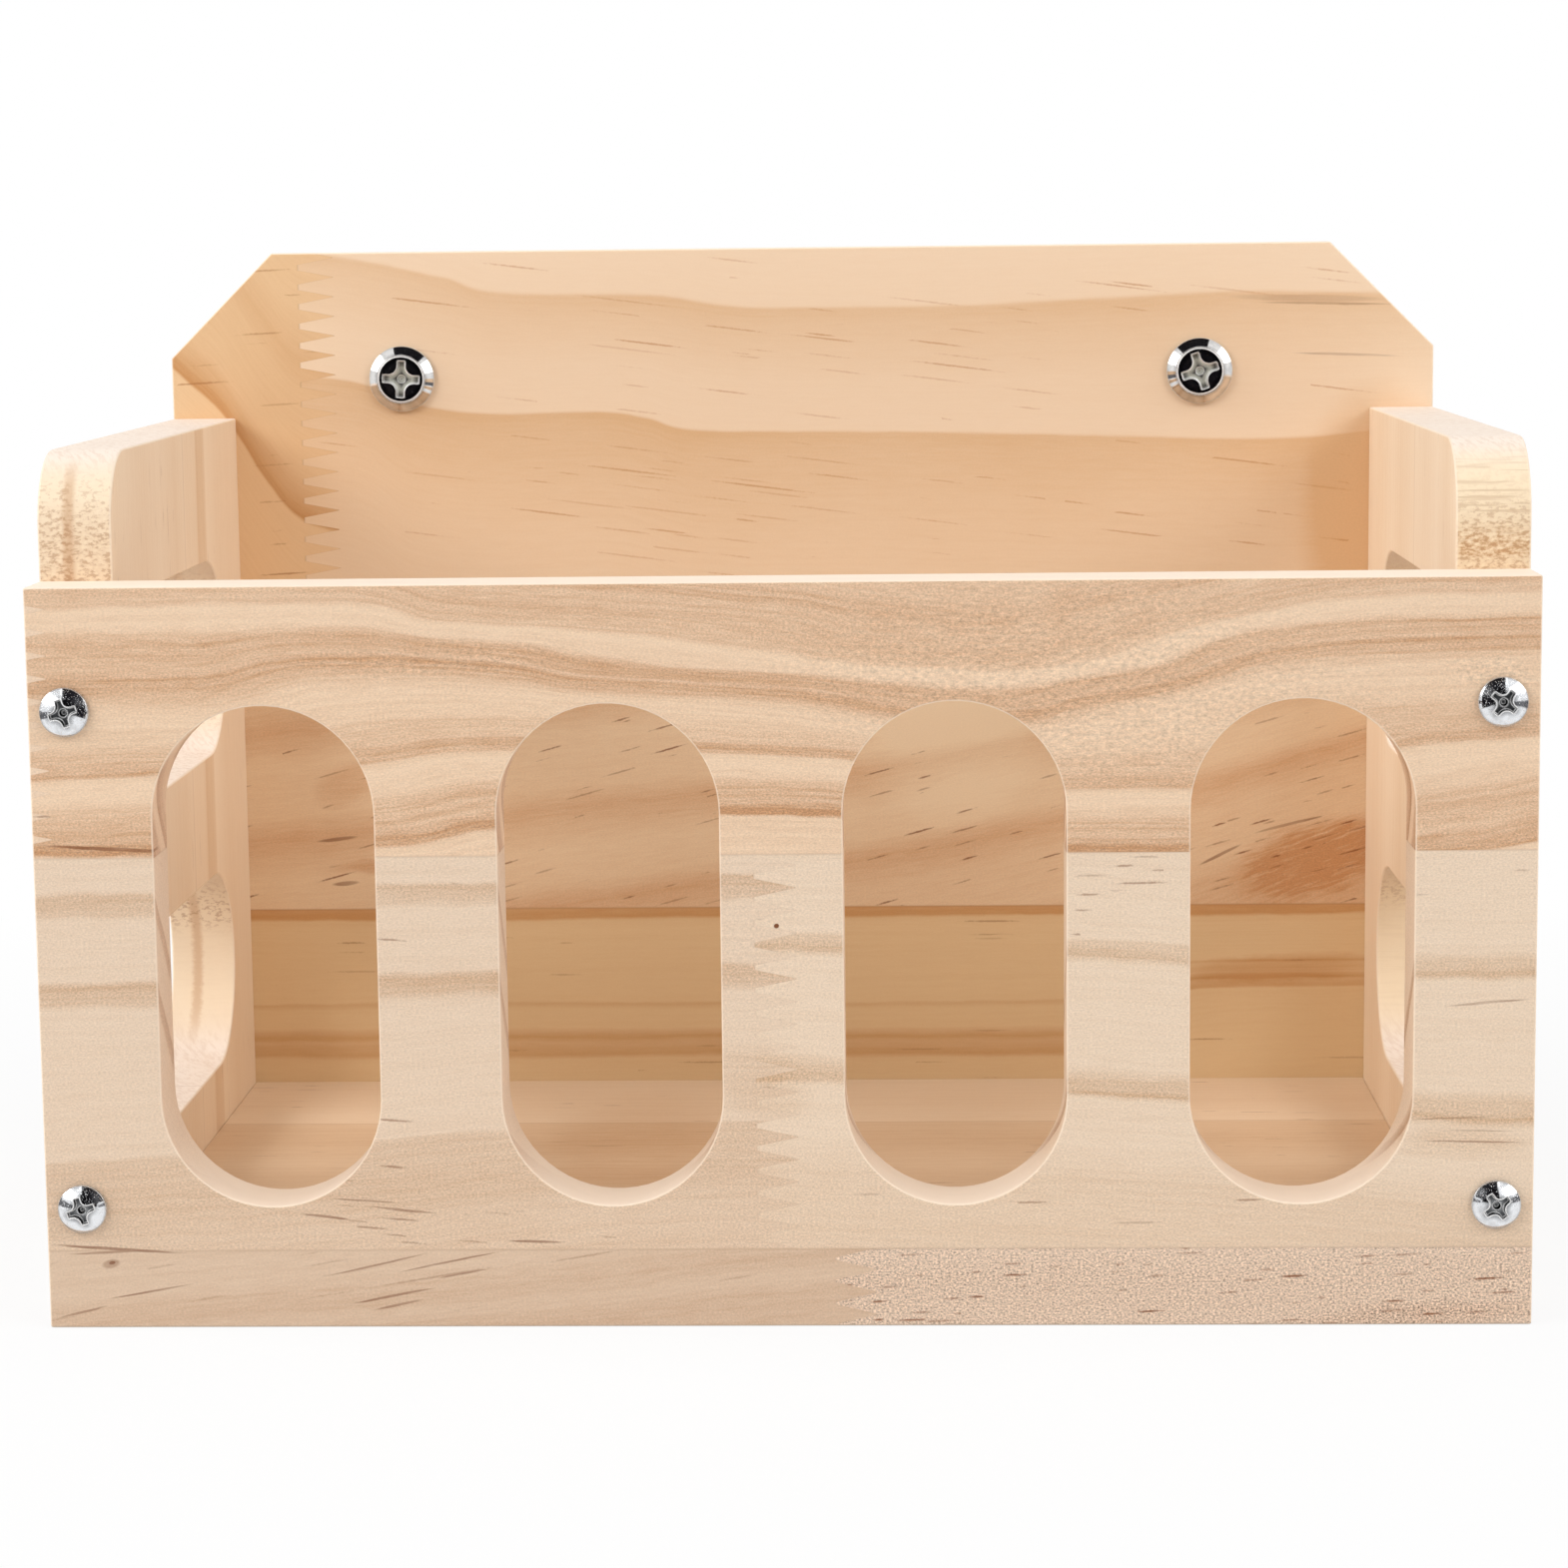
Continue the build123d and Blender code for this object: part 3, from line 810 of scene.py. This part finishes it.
# The right side, whose grain is upright too
right_front = {
    "seed": 14.0, "pale": srgb(246, 228, 204), "dark": srgb(226, 194, 158), "streaks": 0.5,
    "bands": [(-62, 0.25), (-50, 0.4), (-38, 0.15), (-24, 0.35), (-8, 0.2)],
    "speckle": 0.12, "wander": 0.4, "dashes": 0.08, "dash_depth": 0.3,
}
right_rear = {
    "seed": 15.0, "pale": srgb(246, 227, 202), "dark": srgb(224, 190, 152), "streaks": 0.45,
    "bands": [(-8, 0.2), (10, 0.4), (24, 0.2), (44, 0.4), (62, 0.25)],
    "speckle": 0.12, "wander": 0.4, "dashes": 0.05, "dash_depth": 0.3,
}
right_wood = pine_board(
    "pine_right", "zyx", right_face,
    [
        (-8.0, [(None, right_front)]),
        (None, [(None, right_rear)]),
    ],
    chalk=0.9,
    edge={
        "colour": srgb(251, 229, 196), "brown": srgb(206, 158, 108),
        "specks": [(0, 0.0), (50, 0.05), (56, 0.7), (61, 0.5), (64, 0.1), (118, 0.5), (132, 0.7), (138, 0.2),
                   (148, 0.05)],
        "chatter": [(0, 0.1), (128, 0.15), (136, 0.7), (147, 0.7)],
        "bands": [],
        "scorch": [(62, 0.0), (76, 0.3), (112, 0.35), (127, 0.3), (129, 0.75), (132, 0.5), (136, 0.1),
                   (144, 0.0)],
    },
)


# ---------------------------------------------------------------- plated steel

ROLLED_EDGE = 0.28 * MM         # how far an edge looks rounded
EDGE_HIGHLIGHT_REACH = 0.5 * MM       # how far from an edge the painted highlight on a head reaches
RECESS_REACH = 1.2 * MM         # how near its walls have to be to make a recess
PAINTED_SHADE_THICKNESS = 1.0 * MM           # metal thinner than this is painted darker, as painted shade
PIT_DEPTH = 0.05 * MM
SMEAR_SCALE = 500.0             # how fine the smears and the pits are, per metre
PIT_SCALE = 5200.0
WORN_SHADE = 0.92               # how bright the worn metal is beside the rest
SMEAR_ROUGHNESS = 0.06
EDGE_ROUGHNESS = 0.45
EDGE_METALLIC = 0.2
BEVEL_RAYS = 8
OCCLUSION_RAYS = 6


def rounded_normal(tree, radius):
    """The way the surface would face if its edges were rounded to this radius."""
    node = tree.nodes.new("ShaderNodeBevel")
    node.samples = BEVEL_RAYS
    node.inputs["Radius"].default_value = radius
    return node.outputs["Normal"]


def openness(tree, reach, inside=False):
    """How open the space before the surface is within reach, or how thick the metal behind it."""
    node = tree.nodes.new("ShaderNodeAmbientOcclusion")
    node.only_local = True
    node.inside = inside
    node.samples = OCCLUSION_RAYS
    node.inputs["Distance"].default_value = reach
    return Field(tree, node.outputs["AO"])


def sharp_edges(tree):
    """1 on the edges of the surface."""
    surface = tree.nodes.new("ShaderNodeNewGeometry")
    bend = tree.nodes.new("ShaderNodeVectorMath")
    bend.operation = "DOT_PRODUCT"
    tree.links.new(rounded_normal(tree, EDGE_HIGHLIGHT_REACH), bend.inputs[0])
    tree.links.new(surface.outputs["True Normal"], bend.inputs[1])
    return Field(tree, bend.outputs["Value"]).rise(0.92, 0.97).flipped()


def plated(name, colour, roughness, pitted, recess=None):
    """Plated steel with a soft roll to its edges.

    colour is in screen values from 0 to 255, and pitted says how strong the pits are. recess says how the
    cross in a head looks: its colour, roughness and metallic, and how bright painted shade leaves its deepest
    parts.
    """
    material = bpy.data.materials.new(name)
    material.use_nodes = True
    tree = material.node_tree
    shader = tree.nodes["Principled BSDF"]
    where = tree.nodes.new("ShaderNodeTexCoord")
    smear = noise(tree, where.outputs["Object"], 2.0, 0.6, SMEAR_SCALE)
    pits = noise(tree, where.outputs["Object"], 1.0, 0.5, PIT_SCALE).rise(0.62, 0.75)
    shader.inputs["Metallic"].default_value = 1.0
    worn = srgb(*(value * WORN_SHADE for value in colour))
    tint = mix_colour(tree, smear.rise(0.4, 0.7), srgb(*colour), worn)
    rough = smear * SMEAR_ROUGHNESS + roughness
    if recess:
        space = openness(tree, RECESS_REACH)
        deep = space.rise(0.8, 0.97).flipped()
        tint = mix_colour(tree, deep, tint, recess["colour"])
        # Painted shade: the recess is darkened where it is most closed in
        tint = brightened(tree, tint, space.ranged(0.15, 0.6, recess["depth_shade"], 1.0))
        rough = mix_value(tree, deep, rough, recess["roughness"])
        # Painted shade: the metal is painted darker where it is thin, near the recess and the rim
        thick = openness(tree, PAINTED_SHADE_THICKNESS, inside=True)
        tint = brightened(tree, tint, thick.ranged(0.4, 1.0, 0.3, 1.0))
        # Painted highlight: its edges are painted white and made less metallic, so they look bright from
        # every side
        edge = sharp_edges(tree)
        tint = mix_colour(tree, edge, tint, srgb(255, 255, 255))
        rough = mix_value(tree, edge, rough, EDGE_ROUGHNESS)
        metallic = deep * (recess["metallic"] - 1.0) + 1.0
        plug(tree, mix_value(tree, edge, metallic, EDGE_METALLIC), shader.inputs["Metallic"])
    plug(tree, tint, shader.inputs["Base Color"])
    plug(tree, rough, shader.inputs["Roughness"])
    bump = tree.nodes.new("ShaderNodeBump")
    bump.inputs["Strength"].default_value = pitted
    bump.inputs["Distance"].default_value = PIT_DEPTH
    plug(tree, pits, bump.inputs["Height"])
    tree.links.new(rounded_normal(tree, ROLLED_EDGE), bump.inputs["Normal"])
    tree.links.new(bump.outputs["Normal"], shader.inputs["Normal"])
    return material


screw_cross = {"colour": srgb(88, 90, 92), "roughness": 0.3, "metallic": 1.0, "depth_shade": 0.25}
bolt_cross = {"colour": srgb(214, 218, 208), "roughness": 0.4, "metallic": 0.25, "depth_shade": 0.5}
metals = {
    "zinc_screw": plated("zinc_screw", (236, 238, 241), 0.07, 0.45, screw_cross),
    "bright_bolt": plated("bright_bolt", (226, 224, 222), 0.04, 0.03, bolt_cross),
    "zinc_washer": plated("zinc_washer", (205, 208, 212), 0.25, 0.2),
    "zinc_nut": plated("zinc_nut", (202, 204, 206), 0.3, 0.3),
}
board_wood = {
    "front_panel": front_wood,
    "back_panel": back_wood,
    "floor_panel": floor_wood,
    "left_side_panel": left_wood,
    "right_side_panel": right_wood,
}
slot_of = {part["node"]: part["material_slot"] for part in frame["record"]["subparts"]}
for name, node in frame["nodes"].items():
    material = board_wood.get(name) or metals[slot_of[name]]
    node.data.materials.clear()
    node.data.materials.append(material)


# ---------------------------------------------------------------- stage, light and camera

def background_rays(tree):
    """1 for rays that show the surroundings: to the camera, in a mirror or through glass."""
    path = tree.nodes.new("ShaderNodeLightPath")
    seen = Field(tree, path.outputs["Is Camera Ray"])
    seen = seen.math("MAXIMUM", Field(tree, path.outputs["Is Glossy Ray"]))
    return seen.math("MAXIMUM", Field(tree, path.outputs["Is Transmission Ray"]))


def paper_material():
    """White paper: it keeps a faint shadow round the box, and further out it is plain white.

    From below it is clear, and so it is to what lies on it: the underside of the box shows, and is lit.
    """
    material = bpy.data.materials.new("studio_paper")
    material.use_nodes = True
    tree = material.node_tree
    shader = tree.nodes["Principled BSDF"]
    shader.inputs["Base Color"].default_value = (0.85, 0.85, 0.85, 1.0)
    shader.inputs["Roughness"].default_value = 0.9
    shader.inputs["Specular IOR Level"].default_value = 0.0
    white = tree.nodes.new("ShaderNodeEmission")
    white.inputs["Color"].default_value = (1.0, 1.0, 1.0, 1.0)
    where = tree.nodes.new("ShaderNodeTexCoord")
    reach = tree.nodes.new("ShaderNodeVectorMath")
    reach.operation = "LENGTH"
    tree.links.new(where.outputs["Object"], reach.inputs[0])
    plain = Field(tree, reach.outputs["Value"]).ranged(*paper_shade_reach, paper_white_near_box, 1.0)
    blend = tree.nodes.new("ShaderNodeMixShader")
    plug(tree, background_rays(tree) * plain, blend.inputs[0])
    tree.links.new(shader.outputs[0], blend.inputs[1])
    tree.links.new(white.outputs[0], blend.inputs[2])
    surface = tree.nodes.new("ShaderNodeNewGeometry")
    path = tree.nodes.new("ShaderNodeLightPath")
    touching = Field(tree, path.outputs["Ray Length"]).math("LESS_THAN", paper_clear_within)
    clear = tree.nodes.new("ShaderNodeBsdfTransparent")
    one_sided = tree.nodes.new("ShaderNodeMixShader")
    plug(tree, Field(tree, surface.outputs["Backfacing"]).math("MAXIMUM", touching), one_sided.inputs[0])
    tree.links.new(blend.outputs[0], one_sided.inputs[1])
    tree.links.new(clear.outputs[0], one_sided.inputs[2])
    tree.links.new(one_sided.outputs[0], tree.nodes["Material Output"].inputs["Surface"])
    return material


def matt_material(name, colour):
    material = bpy.data.materials.new(name)
    material.use_nodes = True
    shader = material.node_tree.nodes["Principled BSDF"]
    shader.inputs["Base Color"].default_value = colour
    shader.inputs["Roughness"].default_value = 1.0
    shader.inputs["Specular IOR Level"].default_value = 0.0
    return material


def stage_sheet(name, corners, faces, materials):
    mesh = bpy.data.meshes.new(name)
    mesh.from_pydata(corners, [], faces)
    for material in materials:
        mesh.materials.append(material)
    sheet = bpy.data.objects.new(name, mesh)
    bpy.context.scene.collection.objects.link(sheet)
    return sheet


paper_corners = []
for x, y in ((-1, -1), (1, -1), (1, 1), (-1, 1)):
    paper_corners.append((x * paper_half_width, y * paper_half_width, -paper_drop))
stage_sheet("studio_paper", paper_corners, [(0, 1, 2, 3)], [paper_material()])

gap_corners = []
for y, z in ((gap_front, gap_foot), (gap_front, gap_top), (gap_rear, gap_top)):
    gap_corners += [(-gap_half_width, y, z), (gap_half_width, y, z)]
gap_faces = [(0, 1, 3, 2), (2, 3, 5, 4)]
face_shades = ["black", "black"]
for x, near, far, foot, top, shade in gap_fins:
    first = len(gap_corners)
    gap_corners += [(x, near, foot), (x, far, foot), (x, far, top), (x, near, top)]
    gap_faces.append((first, first + 1, first + 2, first + 3))
    face_shades.append(shade)
shade_names = list(gap_shades)
shade_materials = [matt_material(f"studio_{name}", gap_shades[name]) for name in shade_names]
gap = stage_sheet("studio_gap", gap_corners, gap_faces, shade_materials)
for face, shade in zip(gap.data.polygons, face_shades):
    face.material_index = shade_names.index(shade)
gap.visible_camera = False
gap.visible_diffuse = False
gap.visible_transmission = False
gap.visible_shadow = False

world = bpy.data.worlds.new("studio")
world.use_nodes = True
bpy.context.scene.world = world
background = world.node_tree.nodes["Background"]
background.inputs["Color"].default_value = (1.0, 1.0, 1.0, 1.0)
seen = background_rays(world.node_tree)
plug(world.node_tree, seen.ranged(0.0, 1.0, world_strength, 1.0), background.inputs["Strength"])

for name, place, size, power in softboxes:
    light = bpy.data.lights.new(name, "AREA")
    light.shape = "SQUARE"
    light.size = size
    light.energy = power
    lamp = bpy.data.objects.new(name, light)
    lamp.location = place
    lamp.rotation_euler = (Vector(light_target) - Vector(place)).to_track_quat("-Z", "Y").to_euler()
    bpy.context.scene.collection.objects.link(lamp)

camera = bpy.data.cameras.new("camera")
camera.lens = camera_lens
camera.sensor_width = camera_sensor
viewer = bpy.data.objects.new("camera", camera)
viewer.location = [value * MM for value in camera_place]
viewer.rotation_euler = Euler([math.radians(angle) for angle in camera_turn], "XYZ")
bpy.context.scene.collection.objects.link(viewer)
bpy.context.scene.camera = viewer
bpy.context.scene.view_settings.view_transform = "Standard"
